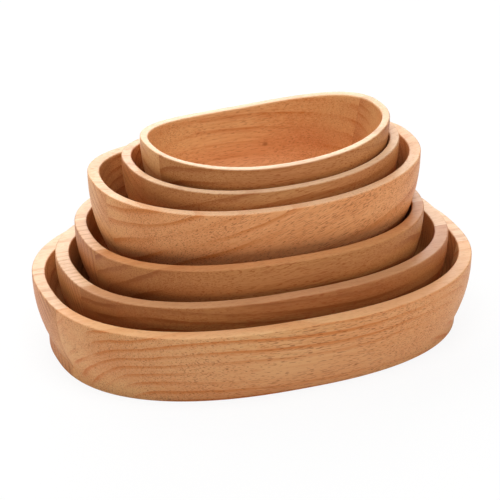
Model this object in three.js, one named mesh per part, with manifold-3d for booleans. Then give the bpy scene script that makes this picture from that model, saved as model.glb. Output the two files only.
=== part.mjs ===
// A nest of six oval wooden serving bowls: three low bowls with level rims and, standing in
// them, three deeper bowls whose rims rise to the ends. Each bowl is carved from a blank of
// three boards glued edge to edge, so every board is a piece of its own.
// Millimetres, +Z up, X along the bowls, Y away from the front, the table at Z = 0.

import * as THREE from "three";
import { mergeVertices } from "three/addons/utils/BufferGeometryUtils.js";
import Module from "manifold-3d";

const wasm = await Module();
wasm.setup();

// Main sizes, over the rims.
const LENGTH = 330; // largest bowl
const WIDTH = 236; // largest bowl
const LOW_HEIGHT = 58; // tallest low bowl
const DEEP_HEIGHT = 73.4; // tallest deep bowl, at mid-length

// The bowls, from the table up. End and side gap are, seen from above, between a bowl's rim and
// the mouth of the bowl below; below zero, the rim stands out over that mouth. Lower is how much
// lower a bowl is than the tallest of its kind, and sheer how much higher its rim stands at the
// ends. The flares are how far the foot stands inside the rim. Along, across and turn (degrees)
// place a bowl off the nest's centre.
const SHAPES = [
  {
    name: "largest_bowl",
    tallest: LOW_HEIGHT,
    lower: 0,
    sheer: 0,
    endRim: 9.1,
    sideRim: 11.6,
    floor: 12,
    endFlare: 10.8,
    sideFlare: 13.2,
    hollowTaper: 9,
    cove: 24,
    middleBoard: 60,
    squareness: 2.4,
    along: 0,
    across: 0,
    turn: 0,
  },
  {
    name: "second_bowl",
    endGap: 7.9,
    sideGap: 5.15,
    tallest: LOW_HEIGHT,
    lower: 1.5,
    sheer: 0,
    endRim: 9.9,
    sideRim: 10,
    floor: 11,
    endFlare: 10.4,
    sideFlare: 12.5,
    hollowTaper: 8,
    cove: 22,
    middleBoard: 60,
    squareness: 2.38,
    along: 0,
    across: 0,
    turn: 0.7,
  },
  {
    name: "third_bowl",
    endGap: 7.85,
    sideGap: 0.25,
    tallest: LOW_HEIGHT,
    lower: 5,
    sheer: 0,
    endRim: 8.6,
    sideRim: 9.6,
    floor: 10.5,
    endFlare: 9.6,
    sideFlare: 11.8,
    hollowTaper: 4,
    cove: 14,
    middleBoard: 53,
    squareness: 2.38,
    along: -2.2,
    across: 0.6,
    turn: -1.2,
  },
  {
    name: "fourth_bowl",
    endGap: -3.1,
    sideGap: 4.9,
    tallest: DEEP_HEIGHT,
    lower: 0,
    sheer: 8,
    endRim: 8.5,
    sideRim: 7.6,
    floor: 10,
    endFlare: 18.8,
    sideFlare: 25,
    hollowTaper: 12,
    cove: 26,
    middleBoard: 46,
    squareness: 2.35,
    along: 1.4,
    across: -1,
    turn: -0.5,
  },
  {
    name: "fifth_bowl",
    endGap: 12,
    sideGap: 2.15,
    tallest: DEEP_HEIGHT,
    lower: 4.4,
    sheer: 7.6,
    endRim: 7.1,
    sideRim: 6.3,
    floor: 9,
    endFlare: 18,
    sideFlare: 20.9,
    hollowTaper: 11,
    cove: 23,
    middleBoard: 40,
    squareness: 2.35,
    along: 5.6,
    across: -1.9,
    turn: 2.2,
  },
  {
    name: "smallest_bowl",
    endGap: 2.65,
    sideGap: 2.2,
    tallest: DEEP_HEIGHT,
    lower: 10.4,
    sheer: 8.9,
    endRim: 5.6,
    sideRim: 6.2,
    floor: 8,
    endFlare: 17.2,
    sideFlare: 23,
    hollowTaper: 10,
    cove: 22,
    middleBoard: 35,
    squareness: 2.35,
    along: 8.7,
    across: -3,
    turn: 4.2,
  },
];

// Details that all the bowls share.
const FOOT_HEIGHT = 10.5; // upright land under each end
const FLARE_POWER = 2.2; // the wall stands upright at the rim and leans in faster lower down
const BASE_EASE = 1.2; // bevel round the underside
const RIM_EASE = 1.5; // bevel on both edges of the rim
const GLUE_LINE = 0.3; // between two boards
const SEAT_CLEARANCE = 0.5; // between a foot and the hollow that it stands in

// Fineness of the faceted surfaces.
const OVAL_STEPS = 36;
const WALL_STEPS = 4;
const TAPER_STEPS = 2;
const COVE_STEPS = 4;
const CONTACT_STEPS = 8; // tried between two levels when a bowl is lowered into its place

const WOOD = { color: 0xc48a5c, roughness: 0.55, metalness: 0 };

/** The bowls with their sizes over the rim, each worked out from the mouth of the one below. */
function sizedBowls() {
  const bowls = [];
  for (const shape of SHAPES) {
    const host = bowls.at(-1);
    const length = host ? host.length - 2 * (host.endRim + shape.endGap) : LENGTH;
    const width = host ? host.width - 2 * (host.sideRim + shape.sideGap) : WIDTH;
    bowls.push({ ...shape, length, width, height: shape.tallest - shape.lower });
  }
  return bowls;
}

/** One level of a bowl's wall: half sizes of the oval, its height, and its share of the sheer. */
function station(halfLength, halfWidth, height, sheerShare) {
  return { halfLength, halfWidth, height, sheerShare };
}

/** Levels of the outside, from the underside up to the rim's outer edge. */
function outsideStations(bowl) {
  const lean = (height, foot) => {
    const fall = (bowl.height - Math.max(height, foot)) / (bowl.height - foot);
    return fall ** FLARE_POWER;
  };
  const level = (height, ease) => {
    const endInset = bowl.endFlare * lean(height, FOOT_HEIGHT) + ease;
    const sideInset = bowl.sideFlare * lean(height, 0) + ease;
    return station(bowl.length / 2 - endInset, bowl.width / 2 - sideInset, height, height / bowl.height);
  };
  const wallTop = bowl.height - RIM_EASE;
  const levels = [level(0, BASE_EASE), level(BASE_EASE, 0), level(FOOT_HEIGHT, 0)];
  for (let step = 1; step <= WALL_STEPS; step += 1) {
    levels.push(level(FOOT_HEIGHT + ((wallTop - FOOT_HEIGHT) * step) / WALL_STEPS, 0));
  }
  levels.push(level(bowl.height, RIM_EASE));
  return levels;
}

/** Levels of the hollow, from the rim's inner edge down to the edge of the flat floor. */
function hollowStations(bowl) {
  const depth = bowl.height - bowl.floor;
  const level = (below, extra) => {
    const inset = (bowl.hollowTaper * below) / depth + extra;
    return station(
      bowl.length / 2 - bowl.endRim - inset,
      bowl.width / 2 - bowl.sideRim - inset,
      bowl.height - below,
      1 - below / depth,
    );
  };
  const coveTop = depth - bowl.cove;
  const levels = [level(0, -RIM_EASE), level(RIM_EASE, 0)];
  for (let step = 1; step <= TAPER_STEPS; step += 1) {
    levels.push(level(RIM_EASE + ((coveTop - RIM_EASE) * step) / TAPER_STEPS, 0));
  }
  for (let step = 1; step <= COVE_STEPS; step += 1) {
    const angle = (Math.PI / 2) * (step / COVE_STEPS);
    levels.push(level(coveTop + bowl.cove * Math.sin(angle), bowl.cove * (1 - Math.cos(angle))));
  }
  return levels;
}

/** A point of a level's oval, with the sheer's rise towards the ends. */
function ovalPoint(bowl, level, step) {
  const angle = (2 * Math.PI * step) / OVAL_STEPS;
  const power = 2 / bowl.squareness;
  const x = level.halfLength * Math.sign(Math.cos(angle)) * Math.abs(Math.cos(angle)) ** power;
  const y = level.halfWidth * Math.sign(Math.sin(angle)) * Math.abs(Math.sin(angle)) ** power;
  return new THREE.Vector3(x, y, level.height + rise(bowl, level, x));
}

/** How far the sheer lifts a point of a level above the level's height at mid-length. */
function rise(bowl, level, x) {
  return bowl.sheer * level.sheerShare * (x / (bowl.length / 2)) ** 2;
}

/** Skin over a stack of levels, closed by a fan at its first and last level. */
function loftGeometry(bowl, levels) {
  const points = [];
  const faces = [];
  for (const level of levels) {
    for (let step = 0; step < OVAL_STEPS; step += 1) {
      points.push(ovalPoint(bowl, level, step));
    }
  }
  for (let row = 0; row < levels.length - 1; row += 1) {
    for (let step = 0; step < OVAL_STEPS; step += 1) {
      const near = row * OVAL_STEPS + step;
      const next = row * OVAL_STEPS + ((step + 1) % OVAL_STEPS);
      faces.push(near, next, near + OVAL_STEPS, next, next + OVAL_STEPS, near + OVAL_STEPS);
    }
  }
  const lastRow = (levels.length - 1) * OVAL_STEPS;
  const underside = points.push(new THREE.Vector3(0, 0, levels[0].height)) - 1;
  const floor = points.push(new THREE.Vector3(0, 0, levels[levels.length - 1].height)) - 1;
  for (let step = 0; step < OVAL_STEPS; step += 1) {
    const after = (step + 1) % OVAL_STEPS;
    faces.push(underside, after, step, floor, lastRow + step, lastRow + after);
  }
  return new THREE.BufferGeometry().setFromPoints(points).setIndex(faces);
}

/** Solid of a closed geometry. */
function solidOf(geometry) {
  const bare = geometry.clone();
  bare.deleteAttribute("normal");
  bare.deleteAttribute("uv");
  const merged = mergeVertices(bare);
  return new wasm.Manifold(
    new wasm.Mesh({
      numProp: 3,
      vertProperties: new Float32Array(merged.attributes.position.array),
      triVerts: new Uint32Array(merged.index.array),
    }),
  );
}

/** Geometry of a solid. */
function geometryOf(solid) {
  const mesh = solid.getMesh();
  const geometry = new THREE.BufferGeometry();
  geometry.setAttribute("position", new THREE.BufferAttribute(new Float32Array(mesh.vertProperties), 3));
  geometry.setIndex(new THREE.BufferAttribute(new Uint32Array(mesh.triVerts), 1));
  geometry.computeVertexNormals();
  return geometry;
}

/** The part of a bowl between two lengthwise planes, from the blank's board there. */
function board(bowl, solid, frontEdge, backEdge) {
  const tallest = bowl.height + bowl.sheer;
  const slab = new THREE.BoxGeometry(2 * bowl.length, backEdge - frontEdge, 4 * tallest);
  slab.translate(0, (frontEdge + backEdge) / 2, 0);
  return geometryOf(solid.intersect(solidOf(slab)));
}

/** A bowl's three boards as named meshes, in the bowl's own frame. */
function bowlBoards(bowl) {
  const solid = solidOf(loftGeometry(bowl, [...outsideStations(bowl), ...hollowStations(bowl)]));
  const joint = bowl.middleBoard / 2;
  const edges = {
    front: [-bowl.width, -joint - GLUE_LINE],
    middle: [-joint, joint],
    back: [joint + GLUE_LINE, bowl.width],
  };
  return Object.entries(edges).map(([place, [frontEdge, backEdge]]) => {
    const material = new THREE.MeshStandardMaterial(WOOD);
    const mesh = new THREE.Mesh(board(bowl, solid, frontEdge, backEdge), material);
    mesh.name = `${bowl.name}_${place}_board`;
    return mesh;
  });
}

/** Whether a point seen from above lies within a level's faceted oval. */
function within(bowl, level, x, y) {
  for (let step = 0; step < OVAL_STEPS; step += 1) {
    const start = ovalPoint(bowl, level, step);
    const end = ovalPoint(bowl, level, step + 1);
    if ((end.x - start.x) * (y - start.y) < (end.y - start.y) * (x - start.x)) {
      return false;
    }
  }
  return true;
}

/** Level part of the way from one level to the next. */
function between(upper, lower, share) {
  const mix = (key) => THREE.MathUtils.lerp(upper[key], lower[key], share);
  return station(mix("halfLength"), mix("halfWidth"), mix("height"), mix("sheerShare"));
}

/** Height of a bowl's hollow under a point, or of its rim where the point lies outside it. */
function hollowHeight(bowl, levels, x, y) {
  const outer = levels.findIndex((level) => !within(bowl, level, x, y));
  if (outer === 0) {
    return bowl.height + rise(bowl, levels[0], x);
  }
  if (outer === -1) {
    return bowl.floor;
  }
  const HALVINGS = 24;
  let inside = 0;
  let outside = 1;
  for (let count = 0; count < HALVINGS; count += 1) {
    const share = (inside + outside) / 2;
    if (within(bowl, between(levels[outer - 1], levels[outer], share), x, y)) {
      inside = share;
    } else {
      outside = share;
    }
  }
  const wall = between(levels[outer - 1], levels[outer], inside);
  return wall.height + rise(bowl, wall, x);
}

/** Levels of the outside again, with extra ones between them to feel for contact. */
function contactStations(bowl) {
  const levels = outsideStations(bowl);
  return levels.slice(1).flatMap((upper, index) =>
    Array.from({ length: CONTACT_STEPS }, (_, step) =>
      between(levels[index], upper, step / CONTACT_STEPS),
    ),
  );
}

/** Height above the host's base at which a bowl lowered into it comes to rest. */
function seatHeight(host, guest) {
  const hollow = hollowStations(host);
  const centre = new THREE.Vector2();
  const turn = THREE.MathUtils.degToRad(guest.turn - host.turn);
  const shift = new THREE.Vector2(guest.along - host.along, guest.across - host.across);
  shift.rotateAround(centre, -THREE.MathUtils.degToRad(host.turn));
  let seat = host.floor;
  for (const level of contactStations(guest)) {
    for (let step = 0; step < OVAL_STEPS; step += 1) {
      const point = ovalPoint(guest, level, step);
      const plan = new THREE.Vector2(point.x, point.y);
      plan.setLength(plan.length() + SEAT_CLEARANCE);
      plan.rotateAround(centre, turn).add(shift);
      seat = Math.max(seat, hollowHeight(host, hollow, plan.x, plan.y) - point.z);
    }
  }
  return seat;
}

const nest = new THREE.Group();
let baseHeight = 0;
sizedBowls().forEach((bowl, order, bowls) => {
  if (order > 0) {
    baseHeight += seatHeight(bowls[order - 1], bowl);
  }
  const group = new THREE.Group();
  group.position.set(bowl.along, bowl.across, baseHeight);
  group.rotation.z = THREE.MathUtils.degToRad(bowl.turn);
  group.add(...bowlBoards(bowl));
  nest.add(group);
});

export default nest;
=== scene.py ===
"""A nest of oval rubberwood serving bowls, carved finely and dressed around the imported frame.

Every bowl is a rule: an oval (superellipse) swept up a profile, hollowed to a coved floor, with
a rim that is level or rises to the ends. A Geometry Nodes tree sweeps the profile, and the bowl
is then parted at its two glue lines into a front, a middle and a back board, each with the
grain of its own board. Units are metres unless a class says otherwise, +Z is up and the table is
at Z = 0.
"""

from __future__ import annotations

import logging
import math
from dataclasses import dataclass, replace
from enum import Enum

import bmesh
import bpy
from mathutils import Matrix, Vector

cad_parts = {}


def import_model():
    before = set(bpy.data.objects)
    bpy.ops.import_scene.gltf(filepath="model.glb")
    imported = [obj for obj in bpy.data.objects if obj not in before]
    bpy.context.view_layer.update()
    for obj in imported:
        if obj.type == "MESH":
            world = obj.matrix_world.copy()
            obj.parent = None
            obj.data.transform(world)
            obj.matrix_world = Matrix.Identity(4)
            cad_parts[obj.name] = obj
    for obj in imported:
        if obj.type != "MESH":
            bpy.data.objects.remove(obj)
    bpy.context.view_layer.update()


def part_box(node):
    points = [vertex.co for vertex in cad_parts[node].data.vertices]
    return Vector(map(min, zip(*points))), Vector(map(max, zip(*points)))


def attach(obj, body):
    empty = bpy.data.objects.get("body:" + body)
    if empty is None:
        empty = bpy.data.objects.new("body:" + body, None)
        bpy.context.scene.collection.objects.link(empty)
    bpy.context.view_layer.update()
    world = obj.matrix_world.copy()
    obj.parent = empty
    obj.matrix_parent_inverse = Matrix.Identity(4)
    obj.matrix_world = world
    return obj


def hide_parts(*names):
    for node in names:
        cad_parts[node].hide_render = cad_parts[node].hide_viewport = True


LOG = logging.getLogger("serving_bowls")

MM = 0.001
QUARTER_TURN = math.pi / 2
RIM_ATTRIBUTE = "rim"
WHITE = (1.0, 1.0, 1.0, 1.0)

Socket = bpy.types.NodeSocket
Colour = tuple[float, float, float]
Paint = tuple[float, float, float, float]
Point = tuple[float, float, float]
Span = tuple[float, float]
Value = float | str | tuple[float, ...] | Socket


class Place(Enum):
    """Where a board lies in its bowl's blank."""

    FRONT = "front"
    MIDDLE = "middle"
    BACK = "back"


@dataclass(frozen=True)
class Station:
    """One level of a bowl's skin.

    Attributes:
        end_inset: how far the oval's ends lie inside the rim's outline.
        side_inset: how far the oval's sides lie inside it.
        level: height above the bowl's underside at mid-length.
        sheer_share: share of the rim's rise that this level takes.
        rim: 1 on the rim's top, falling to 0 down its eased edges.
    """

    end_inset: float
    side_inset: float
    level: float
    sheer_share: float
    rim: float = 0.0

    def in_metres(self) -> Station:
        """The same level, with its lengths turned from millimetres into metres."""
        return replace(
            self,
            end_inset=self.end_inset * MM,
            side_inset=self.side_inset * MM,
            level=self.level * MM,
        )


@dataclass(frozen=True)
class Fineness:
    """Numbers of steps in a bowl's skin."""

    oval: int = 168
    edge: int = 5
    wall: int = 26
    taper: int = 12
    cove: int = 14
    floor: int = 6


@dataclass(frozen=True)
class CarvedEdges:
    """Small forms that all the bowls share, in millimetres.

    Attributes:
        foot_height: height of the upright foot at the ends.
        flare_power: how quickly the flare above it dies away towards the rim.
        base_ease: radius of the underside's eased edge.
        rim_ease: radius of the rim's two eased edges.
        glue_line: width of the joint between two boards.
        sanded: what fine sanding takes off the outline and the rim's top.
        crease_angle: angle in radians above which an edge stays sharp.
    """

    foot_height: float = 10.5
    flare_power: float = 2.2
    base_ease: float = 1.2
    rim_ease: float = 0.9
    glue_line: float = 0.08
    sanded: float = 0.12
    crease_angle: float = math.radians(24)


FINENESS = Fineness()
EDGES = CarvedEdges()


def even_steps(start: float, stop: float, count: int) -> list[float]:
    """Steps evenly from a start to a stop.

    Args:
        start: the start, which is left out.
        stop: the stop, which is the last step.
        count: number of steps.

    Returns:
        The steps' values.
    """
    return [start + (stop - start) * step / count for step in range(1, count + 1)]


class NodeBuilder:
    """Adds nodes to one tree and links them.

    The three numbers are those of a Mix node's sockets for colours.
    """

    MIX_FIRST = 6
    MIX_SECOND = 7
    MIX_RESULT = 2

    def __init__(self, tree: bpy.types.NodeTree) -> None:
        """Keeps the tree."""
        self.tree = tree

    def feed(self, target: Socket, value: Value) -> None:
        """Links an output to an input, or sets a plain value on it.

        Args:
            target: the input.
            value: the output or the plain value.
        """
        if isinstance(value, Socket):
            self.tree.links.new(value, target)
        else:
            target.default_value = value

    def node(
        self, kind: str, inputs: dict[str | int, Value] | None = None, **settings: object
    ) -> bpy.types.Node:
        """Adds a node.

        Args:
            kind: the node's type.
            inputs: an output or a plain value for each named or numbered input.
            settings: values of the node's properties.

        Returns:
            The new node.
        """
        node = self.tree.nodes.new(kind)
        for name, value in settings.items():
            setattr(node, name, value)
        for name, value in (inputs or {}).items():
            self.feed(node.inputs[name], value)
        return node

    def calculate(self, operation: str, *values: float | Socket, clamp: bool = False) -> Socket:
        """Adds a Math node.

        Args:
            operation: the node's operation.
            values: a number or an output for each of its inputs.
            clamp: whether the result is kept between 0 and 1.

        Returns:
            The result.
        """
        inputs = dict(enumerate(values))
        return self.node("ShaderNodeMath", inputs, operation=operation, use_clamp=clamp).outputs[0]

    def plus(self, first: float | Socket, second: float | Socket) -> Socket:
        """Sum of two values."""
        return self.calculate("ADD", first, second)

    def minus(self, first: float | Socket, second: float | Socket) -> Socket:
        """Difference of two values."""
        return self.calculate("SUBTRACT", first, second)

    def times(self, first: float | Socket, second: float | Socket) -> Socket:
        """Product of two values."""
        return self.calculate("MULTIPLY", first, second)

    def mix(self, share: Socket, first: Paint | Socket, second: Paint | Socket) -> Socket:
        """Mixes two colours.

        Args:
            share: share of the second colour.
            first: the colour at share 0.
            second: the colour at share 1.

        Returns:
            The mixed colour.
        """
        inputs = {"Factor": share, self.MIX_FIRST: first, self.MIX_SECOND: second}
        return self.node("ShaderNodeMix", inputs, data_type="RGBA").outputs[self.MIX_RESULT]

    def vector(self, x: float | Socket, y: float | Socket, z: float | Socket) -> Socket:
        """Joins three values to a vector."""
        return self.node("ShaderNodeCombineXYZ", {"X": x, "Y": y, "Z": z}).outputs[0]

    def smooth_step(self, value: Socket, span: Span) -> Socket:
        """Smooth step of a value.

        Args:
            value: the value.
            span: where the step is 0 and where it is 1.

        Returns:
            The step, from 0 to 1.
        """
        low, high = span
        inputs = {"Value": value, "From Min": low, "From Max": high}
        node = self.node("ShaderNodeMapRange", inputs, interpolation_type="SMOOTHSTEP")
        return node.outputs["Result"]


class SweepTree(NodeBuilder):
    """Geometry Nodes tree that sweeps a profile of levels round an oval."""

    SIZES = ("Length", "Width", "Squareness", "Sheer", "Along", "Across", "Base", "Turn")
    LEVELS = ("end_inset", "side_inset", "level", "sheer_share", "rim")
    HALF_GRID = 0.5
    SHEER_POWER = 2.0
    WELD_DISTANCE = 0.01 * MM

    def __init__(self, name: str) -> None:
        """Builds the tree.

        Args:
            name: name of the node group.
        """
        super().__init__(bpy.data.node_groups.new(name, "GeometryNodeTree"))
        self.identifiers: dict[str, str] = {}
        self._declare()
        self.group = self.node("NodeGroupInput").outputs
        self._wire()

    def _declare_input(self, name: str, kind: str) -> None:
        """Adds a named input and keeps its identifier."""
        socket = self.tree.interface.new_socket(name=name, in_out="INPUT", socket_type=kind)
        self.identifiers[name] = socket.identifier

    def _declare(self) -> None:
        self._declare_input("Profile", "NodeSocketGeometry")
        for name in self.SIZES:
            self._declare_input(name, "NodeSocketFloat")
        self._declare_input("Oval Steps", "NodeSocketInt")
        self._declare_input("Material", "NodeSocketMaterial")
        self.tree.interface.new_socket(
            name="Bowl", in_out="OUTPUT", socket_type="NodeSocketGeometry"
        )

    def _wire(self) -> None:
        """Wires the sweep, from a flat grid to the finished skin."""
        grid, turn_share, row = self._grid()
        levels = self._levels(row)
        skin = self._skin(grid, levels["rim"], self._point(levels, turn_share))
        whole = self.node("GeometryNodeRealizeInstances", {"Geometry": self._placed(skin)})
        inputs = {"Geometry": whole.outputs[0], "Material": self.group["Material"]}
        painted = self.node("GeometryNodeSetMaterial", inputs)
        self.node("NodeGroupOutput", {"Bowl": painted.outputs[0]})

    def _grid(self) -> tuple[Socket, Socket, Socket]:
        """Makes a flat grid with a row for each level and a column for each step of the oval.

        Returns:
            The grid, and the share of the turn and the row at each of its points.
        """
        size = self.node("GeometryNodeAttributeDomainSize", {"Geometry": self.group["Profile"]})
        level_count = size.outputs["Point Count"]
        column_count = self.plus(self.group["Oval Steps"], 1)
        inputs = {"Vertices X": column_count, "Vertices Y": level_count}
        grid = self.node("GeometryNodeMeshGrid", inputs)
        position = self.node("GeometryNodeInputPosition").outputs[0]
        place = self.node("ShaderNodeSeparateXYZ", {"Vector": position}).outputs
        turn_share = self.plus(place["X"], self.HALF_GRID)
        row_share = self.plus(place["Y"], self.HALF_GRID)
        row = self.calculate("ROUND", self.times(row_share, self.minus(level_count, 1)))
        return grid.outputs["Mesh"], turn_share, row

    def _levels(self, row: Socket) -> dict[str, Socket]:
        """Reads a level of the profile.

        Args:
            row: number of the level.

        Returns:
            The level's value for each name in LEVELS.
        """
        sampled = {}
        for name in self.LEVELS:
            stored = self.node("GeometryNodeInputNamedAttribute", {"Name": name}, data_type="FLOAT")
            inputs = {
                "Geometry": self.group["Profile"],
                "Value": stored.outputs["Attribute"],
                "Index": row,
            }
            sample = self.node("GeometryNodeSampleIndex", inputs, data_type="FLOAT", domain="POINT")
            sampled[name] = sample.outputs["Value"]
        return sampled

    def _squared_off(self, wave: Socket, power: Socket) -> Socket:
        """Squares a sine or cosine off, as a superellipse does.

        Args:
            wave: the sine or cosine.
            power: power of its size.

        Returns:
            The powered size with the wave's sign.
        """
        size = self.calculate("POWER", self.calculate("ABSOLUTE", wave), power)
        return self.times(self.calculate("SIGN", wave), size)

    def _point(self, levels: dict[str, Socket], turn_share: Socket) -> Socket:
        """Works out a point of the skin.

        Args:
            levels: values of the point's level.
            turn_share: share of the way round the oval.

        Returns:
            The point, from the middle of the bowl's underside.
        """
        angle = self.times(turn_share, 2 * math.pi)
        power = self.calculate("DIVIDE", 2.0, self.group["Squareness"])
        half_length = self.times(self.group["Length"], 0.5)
        half_width = self.times(self.group["Width"], 0.5)
        reach_x = self.minus(half_length, levels["end_inset"])
        reach_y = self.minus(half_width, levels["side_inset"])
        x = self.times(reach_x, self._squared_off(self.calculate("COSINE", angle), power))
        y = self.times(reach_y, self._squared_off(self.calculate("SINE", angle), power))
        end_share = self.calculate("ABSOLUTE", self.calculate("DIVIDE", x, half_length))
        rise = self.calculate("POWER", end_share, self.SHEER_POWER)
        lift = self.times(self.group["Sheer"], levels["sheer_share"])
        z = self.plus(levels["level"], self.times(lift, rise))
        return self.vector(x, y, z)

    def _skin(self, grid: Socket, rim: Socket, point: Socket) -> Socket:
        """Marks the rim on the grid, bends the grid to the bowl and welds its seam.

        Args:
            grid: the flat grid.
            rim: 1 on the rim's top.
            point: where each point of the grid goes.

        Returns:
            The closed skin.
        """
        marked = self.node(
            "GeometryNodeStoreNamedAttribute",
            {"Geometry": grid, "Name": RIM_ATTRIBUTE, "Value": rim},
            data_type="FLOAT",
            domain="POINT",
        )
        inputs = {"Geometry": marked.outputs[0], "Position": point}
        shaped = self.node("GeometryNodeSetPosition", inputs)
        inputs = {"Geometry": shaped.outputs[0], "Distance": self.WELD_DISTANCE}
        return self.node("GeometryNodeMergeByDistance", inputs).outputs[0]

    def _placed(self, skin: Socket) -> Socket:
        """Turns and moves the skin to the bowl's seat in the nest.

        Args:
            skin: the closed skin.

        Returns:
            The skin in its place.
        """
        group = self.group
        inputs = {
            "Geometry": skin,
            "Translation": self.vector(group["Along"], group["Across"], group["Base"]),
            "Rotation": self.vector(0.0, 0.0, group["Turn"]),
        }
        return self.node("GeometryNodeTransform", inputs).outputs[0]

    def sweep(
        self, stations: list[Station], sizes: dict[str, float], material: bpy.types.Material
    ) -> bpy.types.Mesh:
        """Sweeps one bowl.

        Args:
            stations: the profile, from the underside's centre round to the floor's.
            sizes: a value for each name in SIZES.
            material: material to set on the skin.

        Returns:
            The closed skin as a plain mesh.
        """
        profile = bpy.data.meshes.new("profile")
        profile.from_pydata([(0, 0, 0)] * len(stations), [], [])
        for name in self.LEVELS:
            values = [getattr(station, name) for station in stations]
            profile.attributes.new(name, "FLOAT", "POINT").data.foreach_set("value", values)
        holder = bpy.data.objects.new("sweep", profile)
        bpy.context.scene.collection.objects.link(holder)
        modifier = holder.modifiers.new("Sweep", "NODES")
        modifier.node_group = self.tree
        for name, value in sizes.items():
            modifier[self.identifiers[name]] = float(value)
        modifier[self.identifiers["Oval Steps"]] = FINENESS.oval
        modifier[self.identifiers["Material"]] = material
        graph = bpy.context.evaluated_depsgraph_get()
        mesh = bpy.data.meshes.new_from_object(holder.evaluated_get(graph))
        holder.modifiers.remove(modifier)
        bpy.data.objects.remove(holder)
        bpy.data.meshes.remove(profile)
        return mesh


@dataclass(frozen=True)
class Knot:
    """A small knot: its place in the nest and its radius, in metres."""

    place: Point
    radius: float


@dataclass(frozen=True)
class Grain:
    """How a board was sawn from its log, and the painted light and shade laid on it.

    Attributes:
        pith: place of the log's heart in the bowl's cross-section, across and up, in metres.
        lean: angles of the heart to the bowl's length, sideways and upwards, in radians.
        spacing: mean width of a growth ring, in metres.
        tint_and_painted_light: brightness of this board beside the others, partly its own tone and
            partly painted light and shade: darker on boards in shade between the bowls, brighter on
            boards in full light.
        redness: shift of this board towards red, or towards yellow where negative; partly painted
            shade, as it is higher on the boards darkened as shaded.
        seed: offset of the board along the log.
        figure: strength of the growth rings.
        rim_highlight: strength of the painted highlight on the rim's top, from 0 to 1, high where
            the rim is lit and low where it lies in shade.
        porosity: strength of the pores.
        knot: a small knot, where the board has one.
    """

    pith: tuple[float, float]
    lean: tuple[float, float]
    spacing: float
    tint_and_painted_light: float
    redness: float
    seed: float
    figure: float = 1.0
    rim_highlight: float = 1.0
    porosity: float = 1.0
    knot: Knot | None = None

    def tinted(self, colour: Colour, redness: float) -> Paint:
        """Tints a colour of the wood for this board, painted light and shade included.

        Args:
            colour: the linear colour.
            redness: shift towards red.

        Returns:
            The tinted colour.
        """
        red, green, blue = (self.tint_and_painted_light * part for part in colour)
        return red * (1 + redness), green, blue * (1 - redness), 1.0


@dataclass(frozen=True)
class Pattern:
    """A noise stretched along the board.

    Attributes:
        along: cycles a metre along the board.
        across: cycles a metre across and through it.
        shift: offset from the board's seed, which keeps the patterns apart.
        octaves: layers of finer noise on top of the first.
    """

    along: float
    across: float
    shift: float
    octaves: float


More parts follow.
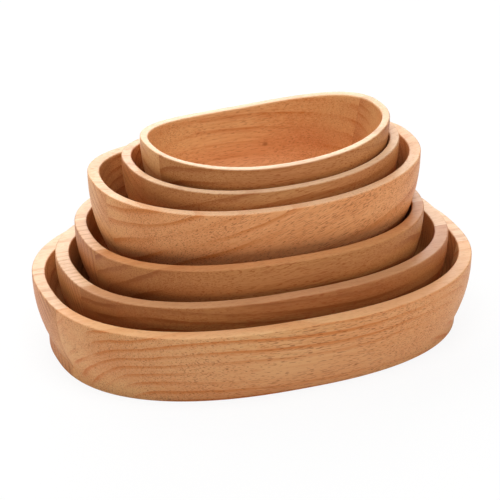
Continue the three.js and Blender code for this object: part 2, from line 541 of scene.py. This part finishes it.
@dataclass(frozen=True)
class Rubberwood:
    """Oiled rubberwood: soft growth rings, short dark pores, fine fibres and a painted highlight on
    the rim.

    Colours are linear, and each span gives where a smooth step is 0 and where it is 1.

    Attributes:
        pale: ground colour of the wood.
        blush: ground colour where the wood turns reddish.
        deep: colour of growth lines and dark fibres.
        pore: colour of the pores.
        rim_highlight_colour: pale colour painted on a rim's top as a highlight.
        line_redness: least redness of the growth lines, which stay warm on yellow boards.
        wander: slow wander of the rings, wander_rings ring widths wide.
        waver: small waver of the rings, waver_rings ring widths wide.
        latewood: span of a ring over which it darkens.
        ring_end: span of a ring over which it ends.
        fading: pattern of rings that fade and come back, over fading_span.
        fibres: fine streaks along the board.
        clouds: broad changes of tone.
        flush: slow drift towards the blush, over flush_span.
        pores: short dashes along the board, over pore_span.
        crowding: pattern of places with more pores, as strong as crowding_weight.
        knot_length: length of a knot beside its width.
        knot_span: where a knot begins and where it is darkest, in radii.
        ring_weight: weight of the rings in the tone.
        fibre_weight: weight of the fibres in the tone.
        tone_level: tone up to which the ground stays clear.
        rim_calm: how much of the lines and pores fades on a rim.
        pore_share: darkness of a full pore.
        roughness: roughness without fibres and pores.
        fibre_roughness: what a fibre adds to it.
        pore_roughness: what a pore adds to it.
        specular: level of the reflection.
        fibre_relief: height of a fibre beside the depth of a pore.
        relief_strength: strength of the bump.
        relief_depth: depth of a pore, in metres.
    """

    pale: Colour = (0.665, 0.342, 0.128)
    blush: Colour = (0.64, 0.266, 0.097)
    deep: Colour = (0.42, 0.148, 0.040)
    pore: Colour = (0.30, 0.064, 0.012)
    rim_highlight_colour: Colour = (0.87, 0.60, 0.375)
    line_redness: float = 0.05
    wander: Pattern = Pattern(4.0, 14.0, 0.0, 1.0)
    wander_rings: float = 3.0
    waver: Pattern = Pattern(18.0, 70.0, 7.0, 1.0)
    waver_rings: float = 0.3
    latewood: Span = (0.5, 0.95)
    ring_end: Span = (1.0, 0.96)
    fading: Pattern = Pattern(3.0, 40.0, 13.0, 0.0)
    fading_span: Span = (0.25, 0.7)
    fibres: Pattern = Pattern(1 / (40 * MM), 1 / (1.2 * MM), 3.0, 2.0)
    clouds: Pattern = Pattern(7.0, 30.0, 11.0, 2.0)
    flush: Pattern = Pattern(5.0, 16.0, 29.0, 1.0)
    flush_span: Span = (0.35, 0.65)
    pores: Pattern = Pattern(1 / (5 * MM), 1 / (0.55 * MM), 19.0, 0.0)
    pore_span: Span = (0.73, 0.80)
    crowding: Pattern = Pattern(14.0, 70.0, 23.0, 1.0)
    crowding_weight: float = 0.22
    knot_length: float = 1.5
    knot_span: Span = (1.0, 0.2)
    ring_weight: float = 0.85
    fibre_weight: float = 1.1
    tone_level: float = 0.77
    rim_calm: float = 0.6
    pore_share: float = 0.58
    roughness: float = 0.36
    fibre_roughness: float = 0.12
    pore_roughness: float = 0.2
    specular: float = 0.2
    fibre_relief: float = 0.25
    relief_strength: float = 0.12
    relief_depth: float = 0.1 * MM

    def material(self, name: str, grain: Grain, origin: Point, turn: float) -> bpy.types.Material:
        """Makes the material of one board.

        Args:
            name: the material's name.
            grain: how the board was sawn.
            origin: middle of the bowl's underside.
            turn: the bowl's turn in the nest, in radians.

        Returns:
            A procedural material on Object coordinates.
        """
        material = bpy.data.materials.new(name)
        material.use_nodes = True
        BoardWood(material.node_tree, self, grain).build(origin, turn)
        return material


class BoardWood(NodeBuilder):
    """Shader nodes of one board of wood."""

    def __init__(self, tree: bpy.types.NodeTree, wood: Rubberwood, grain: Grain) -> None:
        """Keeps the tree's shader, the finish and the board's grain.

        Args:
            tree: node tree of a new material.
            wood: the finish.
            grain: how the board was sawn.
        """
        super().__init__(tree)
        self.wood = wood
        self.grain = grain
        self.shader = tree.nodes["Principled BSDF"]

    def build(self, origin: Point, turn: float) -> None:
        """Builds the board's colour, gloss and relief.

        Args:
            origin: middle of the bowl's underside.
            turn: the bowl's turn in the nest, in radians.
        """
        board = self._board_coordinates(origin, turn)
        fibres = self._noise(board, self.wood.fibres)
        pores = self._pores(board)
        self._colour(self._tone(board, fibres), self._flush(board), pores)
        self._gloss(fibres, pores)
        self._relief(fibres, pores)

    def _object_coordinates(self) -> Socket:
        """Object coordinates, in the frame of the nest."""
        return self.node("ShaderNodeTexCoord").outputs["Object"]

    def _board_coordinates(self, origin: Point, turn: float) -> Socket:
        """Turns Object coordinates so that X runs along the log's heart.

        Args:
            origin: middle of the bowl's underside.
            turn: the bowl's turn in the nest.

        Returns:
            The coordinates, in metres, from the log's heart.
        """
        across, up = self.grain.pith
        sideways, upwards = self.grain.lean
        inputs = {
            "Vector": self._object_coordinates(),
            "Location": (origin[0], origin[1] + across, origin[2] + up),
            "Rotation": (0.0, upwards, turn + sideways),
        }
        return self.node("ShaderNodeMapping", inputs, vector_type="TEXTURE").outputs[0]

    def _noise(self, board: Socket, pattern: Pattern) -> Socket:
        """Lays a stretched noise on the board.

        Args:
            board: board coordinates.
            pattern: the noise's stretch and offset.

        Returns:
            The noise's value, from 0 to 1.
        """
        seed = self.grain.seed + pattern.shift
        inputs = {
            "Vector": board,
            "Location": (seed, 2 * seed, 3 * seed),
            "Scale": (pattern.along, pattern.across, pattern.across),
        }
        stretched = self.node("ShaderNodeMapping", inputs, vector_type="POINT").outputs[0]
        inputs = {"Vector": stretched, "Scale": 1.0, "Detail": pattern.octaves}
        return self.node("ShaderNodeTexNoise", inputs, noise_dimensions="3D").outputs["Fac"]

    def _rings(self, board: Socket) -> Socket:
        """Draws growth rings round the heart, each darkening slowly and ending sharply.

        Args:
            board: board coordinates.

        Returns:
            Ring darkness, from 0 to 1.
        """
        wood, spacing = self.wood, self.grain.spacing
        place = self.node("ShaderNodeSeparateXYZ", {"Vector": board}).outputs
        across = self.calculate("POWER", place["Y"], 2.0)
        through = self.calculate("POWER", place["Z"], 2.0)
        radius = self.calculate("SQRT", self.plus(across, through))
        wander = self.times(self._noise(board, wood.wander), wood.wander_rings * spacing)
        waver = self.times(self._noise(board, wood.waver), wood.waver_rings * spacing)
        bent = self.plus(self.plus(radius, wander), waver)
        phase = self.calculate("FRACT", self.calculate("DIVIDE", bent, spacing))
        late = self.smooth_step(phase, wood.latewood)
        ended = self.smooth_step(phase, wood.ring_end)
        strength = self.smooth_step(self._noise(board, wood.fading), wood.fading_span)
        return self.times(self.times(late, ended), strength)

    def _flush(self, board: Socket) -> Socket:
        """Slow drift of the board towards its blush, as a value from 0 to 1."""
        return self.smooth_step(self._noise(board, self.wood.flush), self.wood.flush_span)

    def _pores(self, board: Socket) -> Socket:
        """Draws short dark dashes, crowded in some places, and the board's knot if it has one.

        Args:
            board: board coordinates.

        Returns:
            Darkness of pores and knot, from 0 to 1.
        """
        wood = self.wood
        crowd = self.times(self._noise(board, wood.crowding), wood.crowding_weight)
        level = self.plus(self._noise(board, wood.pores), crowd)
        pores = self.times(self.smooth_step(level, wood.pore_span), self.grain.porosity)
        if self.grain.knot is None:
            return pores
        return self.calculate("MAXIMUM", pores, self._knot(self.grain.knot))

    def _knot(self, knot: Knot) -> Socket:
        """Draws a small dark knot, drawn out along the bowl.

        Args:
            knot: the knot.

        Returns:
            Darkness of the knot, from 0 to 1.
        """
        inputs = {
            "Vector": self._object_coordinates(),
            "Location": knot.place,
            "Scale": (knot.radius * self.wood.knot_length, knot.radius, knot.radius),
        }
        centred = self.node("ShaderNodeMapping", inputs, vector_type="TEXTURE").outputs[0]
        distance = self.node("ShaderNodeVectorMath", {0: centred}, operation="LENGTH")
        return self.smooth_step(distance.outputs["Value"], self.wood.knot_span)

    def _tone(self, board: Socket, fibres: Socket) -> Socket:
        """Mixes rings, fibres and clouds to one depth of tone.

        Args:
            board: board coordinates.
            fibres: fine fibres.

        Returns:
            Depth of tone, from 0 to 1.
        """
        wood = self.wood
        rings = self.times(self._rings(board), wood.ring_weight * self.grain.figure)
        lines = self.plus(rings, self.times(fibres, wood.fibre_weight))
        depth = self.plus(lines, self._noise(board, wood.clouds))
        return self.calculate("SUBTRACT", depth, wood.tone_level, clamp=True)

    def _colour(self, tone: Socket, flush: Socket, pores: Socket) -> None:
        """Sets the shader's colour.

        Args:
            tone: depth of tone.
            flush: drift towards the blush.
            pores: darkness of the pores.
        """
        wood, grain = self.wood, self.grain
        rim = self.node("ShaderNodeAttribute", attribute_name=RIM_ATTRIBUTE).outputs["Fac"]
        calm = self.minus(1.0, self.times(rim, wood.rim_calm))
        pale = grain.tinted(wood.pale, grain.redness)
        blush = grain.tinted(wood.blush, grain.redness)
        deep = grain.tinted(wood.deep, max(grain.redness, wood.line_redness))
        ground = self.mix(flush, pale, blush)
        # Painted highlight: the rim's top is mixed towards a pale colour, as far as the board's rim
        # is lit.
        highlighted = self.mix(self.times(rim, grain.rim_highlight), ground, (*wood.rim_highlight_colour, 1.0))
        lined = self.mix(self.times(tone, calm), highlighted, deep)
        darkness = self.times(self.times(pores, calm), wood.pore_share)
        marked = self.mix(darkness, lined, (*wood.pore, 1.0))
        self.feed(self.shader.inputs["Base Color"], marked)

    def _gloss(self, fibres: Socket, pores: Socket) -> None:
        """Sets the shader's gloss, duller on fibres and in pores.

        Args:
            fibres: fine fibres.
            pores: darkness of the pores.
        """
        rough = self.plus(self.wood.roughness, self.times(fibres, self.wood.fibre_roughness))
        rough = self.plus(rough, self.times(pores, self.wood.pore_roughness))
        self.feed(self.shader.inputs["Roughness"], rough)
        self.feed(self.shader.inputs["Specular IOR Level"], self.wood.specular)

    def _relief(self, fibres: Socket, pores: Socket) -> None:
        """Sets the shader's relief, with raised fibres and sunk pores.

        Args:
            fibres: fine fibres.
            pores: darkness of the pores.
        """
        inputs = {
            "Strength": self.wood.relief_strength,
            "Distance": self.wood.relief_depth,
            "Height": self.minus(self.times(fibres, self.wood.fibre_relief), pores),
        }
        self.feed(self.shader.inputs["Normal"], self.node("ShaderNodeBump", inputs).outputs[0])


@dataclass(frozen=True)
class OvalBowl:
    """One bowl of the nest; sizes in millimetres, turn in degrees.

    Attributes:
        name: name of the bowl's body.
        length: length of the rim's outline.
        width: width of the rim's outline.
        height: height at mid-length.
        sheer: how far the rim rises to the ends.
        end_rim: thickness of the rim at the ends.
        side_rim: thickness of the rim at the sides.
        floor: thickness of the floor.
        end_flare: how far the ends draw in from the rim to the foot.
        side_flare: how far the sides draw in from the rim to the underside.
        hollow_taper: how far the hollow draws in from the rim to the floor.
        cove: radius of the cove round the floor.
        middle_board: width of the middle board.
        squareness: power of the oval, 2 for an ellipse.
        along: shift in the nest along the length.
        across: shift in the nest across the length.
        turn: turn in the nest.
        boards: how each board was sawn.
    """

    name: str
    length: float
    width: float
    height: float
    sheer: float
    end_rim: float
    side_rim: float
    floor: float
    end_flare: float
    side_flare: float
    hollow_taper: float
    cove: float
    middle_board: float
    squareness: float
    along: float
    across: float
    turn: float
    boards: dict[Place, Grain]

    def node(self, place: Place) -> str:
        """Name of the CAD node of a board."""
        return f"{self.name}_{place.value}_board"

    def origin(self) -> Point:
        """Middle of the underside where the bowl stands in the nest, in metres."""
        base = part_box(self.node(Place.MIDDLE))[0].z
        return self.along * MM, self.across * MM, base

    def _flare_share(self, height: float, land: float) -> float:
        """Share of the flare at a height above an upright land."""
        return ((self.height - max(height, land)) / (self.height - land)) ** EDGES.flare_power

    def _outer_level(self, height: float, tuck: float) -> Station:
        """Places a level of the outer wall.

        Args:
            height: height above the underside.
            tuck: how far an eased edge draws the level in.

        Returns:
            The level, in millimetres.
        """
        end = self.end_flare * self._flare_share(height, EDGES.foot_height) + tuck
        side = self.side_flare * self._flare_share(height, 0) + tuck
        return Station(end, side, height, height / self.height)

    def _hollow_level(self, below: float, tuck: float) -> Station:
        """Places a level of the hollow.

        Args:
            below: depth below the rim's top.
            tuck: how far the cove or an eased edge draws the level in.

        Returns:
            The level, in millimetres.
        """
        top = self.height - EDGES.sanded
        depth_share = below / (top - self.floor)
        lean = self.hollow_taper * depth_share + tuck
        return Station(self.end_rim + lean, self.side_rim + lean, top - below, 1 - depth_share)

    def _outside(self) -> list[Station]:
        """Lists the levels from the underside's centre up to the rim's outer edge.

        Returns:
            The levels, in millimetres.
        """
        foot, ease, rim = EDGES.foot_height, EDGES.base_ease, EDGES.rim_ease
        wall_top = self.height - EDGES.sanded - rim
        levels = self._disc(self._outer_level(0, ease), outward=True)
        for angle in even_steps(0, QUARTER_TURN, FINENESS.edge):
            tuck = ease * (1 - math.sin(angle))
            levels.append(self._outer_level(ease * (1 - math.cos(angle)), tuck))
        levels.append(self._outer_level(foot, 0))
        for height in even_steps(foot, wall_top, FINENESS.wall):
            levels.append(self._outer_level(height, 0))
        for angle in even_steps(0, QUARTER_TURN, FINENESS.edge):
            tuck = rim * (1 - math.cos(angle))
            edge = self._outer_level(wall_top + rim * math.sin(angle), tuck)
            levels.append(replace(edge, rim=angle / QUARTER_TURN))
        return levels

    def _hollow(self) -> list[Station]:
        """Lists the levels from the rim's inner edge down to the floor's centre.

        Returns:
            The levels, in millimetres.
        """
        rim, cove = EDGES.rim_ease, self.cove
        cove_top = self.height - EDGES.sanded - self.floor - cove
        levels = []
        for angle in [0.0, *even_steps(0, QUARTER_TURN, FINENESS.edge)]:
            tuck = -rim * (1 - math.sin(angle))
            edge = self._hollow_level(rim * (1 - math.cos(angle)), tuck)
            levels.append(replace(edge, rim=1 - angle / QUARTER_TURN))
        for below in even_steps(rim, cove_top, FINENESS.taper):
            levels.append(self._hollow_level(below, 0))
        for angle in even_steps(0, QUARTER_TURN, FINENESS.cove):
            tuck = cove * (1 - math.cos(angle))
            levels.append(self._hollow_level(cove_top + cove * math.sin(angle), tuck))
        return levels + self._disc(levels[-1], outward=False)

    def _disc(self, edge: Station, outward: bool) -> list[Station]:
        """Fills a level with a flat disc.

        Args:
            edge: level at the disc's edge.
            outward: whether the levels run from the centre out, edge included, or back to it.

        Returns:
            The disc's levels, in millimetres.
        """
        if outward:
            shares = [0.0, *even_steps(0, 1, FINENESS.floor)]
        else:
            shares = even_steps(1, 0, FINENESS.floor)
        half_length, half_width = self.length / 2, self.width / 2
        return [
            replace(
                edge,
                end_inset=half_length - share * (half_length - edge.end_inset),
                side_inset=half_width - share * (half_width - edge.side_inset),
            )
            for share in shares
        ]

    def carve(self, sweep: SweepTree, material: bpy.types.Material) -> bpy.types.Mesh:
        """Sweeps the whole bowl where its CAD boards stand.

        Args:
            sweep: the sweeping tree.
            material: a material for the skin.

        Returns:
            The bowl's closed skin.
        """
        along, across, base = self.origin()
        sizes = {
            "Length": (self.length - 2 * EDGES.sanded) * MM,
            "Width": (self.width - 2 * EDGES.sanded) * MM,
            "Squareness": self.squareness,
            "Sheer": self.sheer * MM,
            "Along": along,
            "Across": across,
            "Base": base,
            "Turn": math.radians(self.turn),
        }
        stations = [level.in_metres() for level in self._outside() + self._hollow()]
        return sweep.sweep(stations, sizes, material)

    def _cuts(self, place: Place) -> list[tuple[Vector, Vector]]:
        """Lists the planes that part a board from its neighbours.

        Args:
            place: which board.

        Returns:
            A point on each plane and its normal, which points out of the board.
        """
        turn = math.radians(self.turn)
        sideways = Vector((-math.sin(turn), math.cos(turn), 0))
        centre = Vector((self.along * MM, self.across * MM, 0))
        joint, gap = self.middle_board / 2, EDGES.glue_line / 2
        cuts = {
            Place.FRONT: [(-joint - gap, sideways)],
            Place.MIDDLE: [(-joint + gap, -sideways), (joint - gap, sideways)],
            Place.BACK: [(joint + gap, -sideways)],
        }
        return [(centre + sideways * offset * MM, outward) for offset, outward in cuts[place]]

    def part(self, whole: bpy.types.Mesh, place: Place) -> bpy.types.Object:
        """Cuts one board out of the bowl at its glue lines.

        Args:
            whole: the bowl's closed skin.
            place: which board.

        Returns:
            The board as a new object.
        """
        shape = bmesh.new()
        shape.from_mesh(whole)
        bmesh.ops.recalc_face_normals(shape, faces=shape.faces)
        for point, outward in self._cuts(place):
            cut = bmesh.ops.bisect_plane(
                shape,
                geom=shape.verts[:] + shape.edges[:] + shape.faces[:],
                plane_co=point,
                plane_no=outward,
                clear_outer=True,
            )
            outline = [item for item in cut["geom_cut"] if isinstance(item, bmesh.types.BMEdge)]
            bmesh.ops.edgenet_fill(shape, edges=outline)
        bmesh.ops.recalc_face_normals(shape, faces=shape.faces)
        for face in shape.faces:
            face.smooth = True
        for edge in shape.edges:
            edge.smooth = edge.calc_face_angle(0.0) < EDGES.crease_angle
        mesh = bpy.data.meshes.new(f"{self.node(place)}_carved")
        shape.to_mesh(mesh)
        shape.free()
        piece = bpy.data.objects.new(mesh.name, mesh)
        bpy.context.scene.collection.objects.link(piece)
        return piece

    def dress(self, sweep: SweepTree, wood: Rubberwood) -> None:
        """Makes the bowl's three boards and ties them to its body.

        Args:
            sweep: the sweeping tree.
            wood: the finish.
        """
        origin, turn = self.origin(), math.radians(self.turn)
        materials = {
            place: wood.material(f"{self.node(place)}_wood", grain, origin, turn)
            for place, grain in self.boards.items()
        }
        whole = self.carve(sweep, materials[Place.MIDDLE])
        for place, material in materials.items():
            piece = self.part(whole, place)
            piece.data.materials.clear()
            piece.data.materials.append(material)
            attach(piece, self.name)
            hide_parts(self.node(place))
            LOG.info("%s: %d faces", piece.name, len(piece.data.polygons))
        bpy.data.meshes.remove(whole)


@dataclass(frozen=True)
class Viewpoint:
    """Camera of the photograph.

    Attributes:
        turn: turn to the right about the nest, in radians.
        rise: rise above the table, in radians.
        distance: distance from the aim.
        aim_height: height of the aim above the table.
        focal_pixels: focal length, in pixels of the frame.
        centre_x: how far right of the frame's middle the aim is seen, in pixels.
        centre_y: how far below it the aim is seen, in pixels.
        frame_pixels: width of the frame.
        sensor: width of the sensor, in millimetres.
        reach: how far the camera sees.
    """

    turn: float = math.radians(-20.62)
    rise: float = math.radians(25.90)
    distance: float = 2.0
    aim_height: float = 0.070
    focal_pixels: float = 2693.0
    centre_x: float = 3.2
    centre_y: float = -7.7
    frame_pixels: int = 500
    sensor: float = 36.0
    reach: float = 20.0

    def place(self) -> None:
        """Creates the scene's camera."""
        data = bpy.data.cameras.new("camera")
        data.sensor_width = self.sensor
        data.lens = self.focal_pixels * self.sensor / self.frame_pixels
        data.shift_x = -self.centre_x / self.frame_pixels
        data.shift_y = self.centre_y / self.frame_pixels
        data.clip_end = self.reach
        back = Vector(
            (
                math.sin(self.turn) * math.cos(self.rise),
                -math.cos(self.turn) * math.cos(self.rise),
                math.sin(self.rise),
            )
        )
        camera = bpy.data.objects.new("camera", data)
        camera.location = Vector((0, 0, self.aim_height)) + self.distance * back
        camera.rotation_euler = back.to_track_quat("Z", "Y").to_euler()
        bpy.context.scene.collection.objects.link(camera)
        bpy.context.scene.camera = camera


@dataclass(frozen=True)
class Lamp:
    """A square soft light; place, aim and size in metres, power in watts."""

    name: str
    place: Point
    power: float
    size: float = 0.9
    aim: Point = (0, 0, 0.1)

    def hang(self) -> None:
        """Creates the lamp."""
        data = bpy.data.lights.new(self.name, "AREA")
        data.shape = "SQUARE"
        data.size = self.size
        data.energy = self.power
        lamp = bpy.data.objects.new(self.name, data)
        lamp.location = self.place
        towards = Vector(self.place) - Vector(self.aim)
        lamp.rotation_euler = towards.to_track_quat("Z", "Y").to_euler()
        bpy.context.scene.collection.objects.link(lamp)


@dataclass(frozen=True)
class Studio:
    """White studio: a pale floor, an even white surround and soft lamps.

    Attributes:
        floor_size: side of the floor, in metres.
        floor_colour: linear colour of the floor.
        floor_roughness: roughness of the floor.
        floor_glow: share of plain white in what the camera sees of the floor.
        surround_light: strength of the surround as a light.
        surround_seen: strength of the surround as the camera and reflections see it.
        lamps: the lamps.
    """

    floor_size: float = 12.0
    floor_colour: Colour = (0.92, 0.92, 0.92)
    floor_roughness: float = 0.9
    floor_glow: float = 0.9
    surround_light: float = 0.03
    surround_seen: float = 1.0
    lamps: tuple[Lamp, ...] = (
        Lamp("behind", (0.60, 1.58, 0.96), 24.0, size=1.5),
        Lamp("back_left", (-0.53, 1.16, 1.37), 10.0),
        Lamp("top", (-0.16, -0.44, 1.84), 17.0),
        Lamp("front_right", (0.95, -1.28, 0.90), 11.0),
        Lamp("left", (-1.19, 0.45, 1.37), 7.0),
        Lamp("left_low", (-1.86, 0.18, 0.43), 4.0),
    )

    def _surround(self) -> None:
        """Makes a dim white world, seen as pure white by the camera and in reflections."""
        world = bpy.data.worlds.new("surround")
        bpy.context.scene.world = world
        world.use_nodes = True
        nodes = NodeBuilder(world.node_tree)
        rays = nodes.node("ShaderNodeLightPath").outputs
        seen = nodes.calculate("MAXIMUM", rays["Is Camera Ray"], rays["Is Glossy Ray"])
        inputs = {"Value": seen, "To Min": self.surround_light, "To Max": self.surround_seen}
        strength = nodes.node("ShaderNodeMapRange", inputs).outputs["Result"]
        backdrop = world.node_tree.nodes["Background"]
        nodes.feed(backdrop.inputs["Color"], WHITE)
        nodes.feed(backdrop.inputs["Strength"], strength)

    def _paper(self) -> bpy.types.Material:
        """Makes pale paper that glows for the camera alone and still shows soft shadows.

        Returns:
            The floor's material.
        """
        material = bpy.data.materials.new("pale_floor")
        material.use_nodes = True
        nodes = NodeBuilder(material.node_tree)
        paper = material.node_tree.nodes["Principled BSDF"]
        nodes.feed(paper.inputs["Base Color"], (*self.floor_colour, 1.0))
        nodes.feed(paper.inputs["Roughness"], self.floor_roughness)
        nodes.feed(paper.inputs["Specular IOR Level"], 0.0)
        camera_ray = nodes.node("ShaderNodeLightPath").outputs["Is Camera Ray"]
        inputs = {
            "Fac": nodes.times(camera_ray, self.floor_glow),
            1: paper.outputs[0],
            2: nodes.node("ShaderNodeEmission").outputs[0],
        }
        blend = nodes.node("ShaderNodeMixShader", inputs)
        nodes.feed(material.node_tree.nodes["Material Output"].inputs["Surface"], blend.outputs[0])
        return material

    def _floor(self) -> None:
        """Lays the floor."""
        half = self.floor_size / 2
        mesh = bpy.data.meshes.new("floor")
        corners = [(-half, -half, 0), (half, -half, 0), (half, half, 0), (-half, half, 0)]
        mesh.from_pydata(corners, [], [(0, 1, 2, 3)])
        mesh.materials.append(self._paper())
        floor = bpy.data.objects.new("floor", mesh)
        bpy.context.scene.collection.objects.link(floor)

    def set_up(self) -> None:
        """Builds the studio."""
        bpy.context.scene.view_settings.view_transform = "Standard"
        self._surround()
        self._floor()
        for lamp in self.lamps:
            lamp.hang()


# Each board's brightness and redness below are partly painted light and shade: boards in the shaded
# gaps between bowls are darker and redder, boards in full light brighter. Each board's rim strength
# is a painted highlight, low where the rim lies in shade.
LARGEST_BOWL = OvalBowl(
    name="largest_bowl", length=330, width=236, height=58, sheer=0,
    end_rim=9.1, side_rim=11.6, floor=12, end_flare=10.8, side_flare=13.2,
    hollow_taper=9, cove=24, middle_board=60, squareness=2.4, along=0, across=0, turn=0,
    boards={
        Place.FRONT: Grain(
            pith=(-0.118, -0.056), lean=(0.03, 0.02), spacing=7.5 * MM,
            tint_and_painted_light=1.46, redness=-0.18, seed=3.1, figure=0.95, rim_highlight=0.25,
        ),
        Place.MIDDLE: Grain(
            pith=(0.075, -0.055), lean=(0.02, 0.03), spacing=7 * MM,
            tint_and_painted_light=0.98, redness=0.05, seed=8.7, figure=2.4, rim_highlight=0.85,
        ),
        Place.BACK: Grain(
            pith=(0.080, -0.060), lean=(-0.03, 0.02), spacing=8 * MM,
            tint_and_painted_light=1.10, redness=0.0, seed=14.2,
        ),
    },
)

SECOND_BOWL = OvalBowl(
    name="second_bowl", length=296, width=202.5, height=56.5, sheer=0,
    end_rim=9.9, side_rim=10, floor=11, end_flare=10.4, side_flare=12.5,
    hollow_taper=8, cove=22, middle_board=60, squareness=2.38, along=0, across=0, turn=0.7,
    boards={
        Place.FRONT: Grain(
            pith=(-0.070, -0.080), lean=(-0.02, 0.03), spacing=9 * MM,
            tint_and_painted_light=0.58, redness=0.22, seed=21.4, figure=1.2, rim_highlight=0.3,
        ),
        Place.MIDDLE: Grain(
            pith=(0.090, 0.015), lean=(0.01, -0.02), spacing=5 * MM,
            tint_and_painted_light=0.74, redness=0.13, seed=27.9, figure=1.3, rim_highlight=0.85,
        ),
        Place.BACK: Grain(
            pith=(0.090, -0.040), lean=(0.02, -0.03), spacing=8 * MM,
            tint_and_painted_light=0.84, redness=0.06, seed=33.3,
        ),
    },
)

THIRD_BOWL = OvalBowl(
    name="third_bowl", length=260.5, width=182, height=53, sheer=0,
    end_rim=8.6, side_rim=9.6, floor=10.5, end_flare=9.6, side_flare=11.8,
    hollow_taper=4, cove=14, middle_board=53, squareness=2.38, along=-2.2, across=0.6, turn=-1.2,
    boards={
        Place.FRONT: Grain(
            pith=(-0.098, -0.030), lean=(0.02, -0.08), spacing=14 * MM,
            tint_and_painted_light=0.68, redness=0.19, seed=39.6, rim_highlight=0.15,
        ),
        Place.MIDDLE: Grain(
            pith=(0.080, 0.030), lean=(-0.02, 0.02), spacing=6 * MM,
            tint_and_painted_light=0.72, redness=0.14, seed=45.1, figure=1.2, rim_highlight=0.75,
        ),
        Place.BACK: Grain(
            pith=(0.070, -0.050), lean=(0.01, 0.04), spacing=9 * MM,
            tint_and_painted_light=0.86, redness=0.05, seed=51.8,
        ),
    },
)

FOURTH_BOWL = OvalBowl(
    name="fourth_bowl", length=249.5, width=153, height=73.4, sheer=8,
    end_rim=8.5, side_rim=7.6, floor=10, end_flare=18.8, side_flare=25,
    hollow_taper=12, cove=26, middle_board=46, squareness=2.35, along=1.4, across=-1, turn=-0.5,
    boards={
        Place.FRONT: Grain(
            pith=(-0.060, -0.120), lean=(0.05, -0.35), spacing=13 * MM,
            tint_and_painted_light=1.46, redness=-0.11, seed=57.2, figure=1.1, rim_highlight=0.85,
        ),
        Place.MIDDLE: Grain(
            pith=(0.060, -0.050), lean=(0.03, 0.02), spacing=8 * MM,
            tint_and_painted_light=1.22, redness=-0.04, seed=63.5, figure=0.8, rim_highlight=0.7,
        ),
        Place.BACK: Grain(
            pith=(0.060, -0.060), lean=(-0.02, 0.03), spacing=8 * MM,
            tint_and_painted_light=1.05, redness=0.0, seed=69.9, rim_highlight=0.7,
        ),
    },
)

FIFTH_BOWL = OvalBowl(
    name="fifth_bowl", length=208.5, width=133.5, height=69, sheer=7.6,
    end_rim=7.1, side_rim=6.3, floor=9, end_flare=18, side_flare=20.9,
    hollow_taper=11, cove=23, middle_board=40, squareness=2.35, along=5.6, across=-1.9, turn=2.2,
    boards={
        Place.FRONT: Grain(
            pith=(-0.060, -0.090), lean=(0.02, -0.12), spacing=12 * MM,
            tint_and_painted_light=0.76, redness=0.12, seed=75.3, figure=0.8,
        ),
        Place.MIDDLE: Grain(
            pith=(0.050, -0.050), lean=(-0.02, 0.02), spacing=8 * MM,
            tint_and_painted_light=0.80, redness=0.10, seed=81.7, figure=0.8, rim_highlight=0.85,
        ),
        Place.BACK: Grain(
            pith=(0.070, -0.050), lean=(0.02, 0.02), spacing=8 * MM,
            tint_and_painted_light=0.95, redness=0.02, seed=87.4,
        ),
    },
)

SMALLEST_BOWL = OvalBowl(
    name="smallest_bowl", length=189, width=116.5, height=63, sheer=8.9,
    end_rim=5.6, side_rim=6.2, floor=8, end_flare=17.2, side_flare=23,
    hollow_taper=10, cove=22, middle_board=35, squareness=2.35, along=8.7, across=-3, turn=4.2,
    boards={
        Place.FRONT: Grain(
            pith=(-0.050, -0.060), lean=(-0.02, 0.03), spacing=11 * MM,
            tint_and_painted_light=0.74, redness=0.15, seed=93.8, figure=0.8,
        ),
        Place.MIDDLE: Grain(
            pith=(0.030, -0.080), lean=(0.02, 0.02), spacing=9 * MM,
            tint_and_painted_light=1.20, redness=-0.09, seed=99.2, figure=0.6, rim_highlight=0.85, porosity=0.6,
        ),
        Place.BACK: Grain(
            pith=(0.060, -0.070), lean=(0.03, 0.05), spacing=10 * MM,
            tint_and_painted_light=1.38, redness=-0.09, seed=105.6, figure=0.5, porosity=0.6,
            knot=Knot((0.0261, 0.0441, 0.1275), 2.2 * MM),
        ),
    },
)

NEST = (LARGEST_BOWL, SECOND_BOWL, THIRD_BOWL, FOURTH_BOWL, FIFTH_BOWL, SMALLEST_BOWL)


def main() -> None:
    """Builds the nest, bowl by bowl, and the studio round it."""
    logging.basicConfig(level=logging.INFO, format="%(name)s %(message)s")
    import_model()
    Viewpoint().place()
    Studio().set_up()
    sweep = SweepTree("oval_bowl_sweep")
    wood = Rubberwood()
    for bowl in NEST:
        bowl.dress(sweep, wood)


if __name__ == "__main__":
    main()
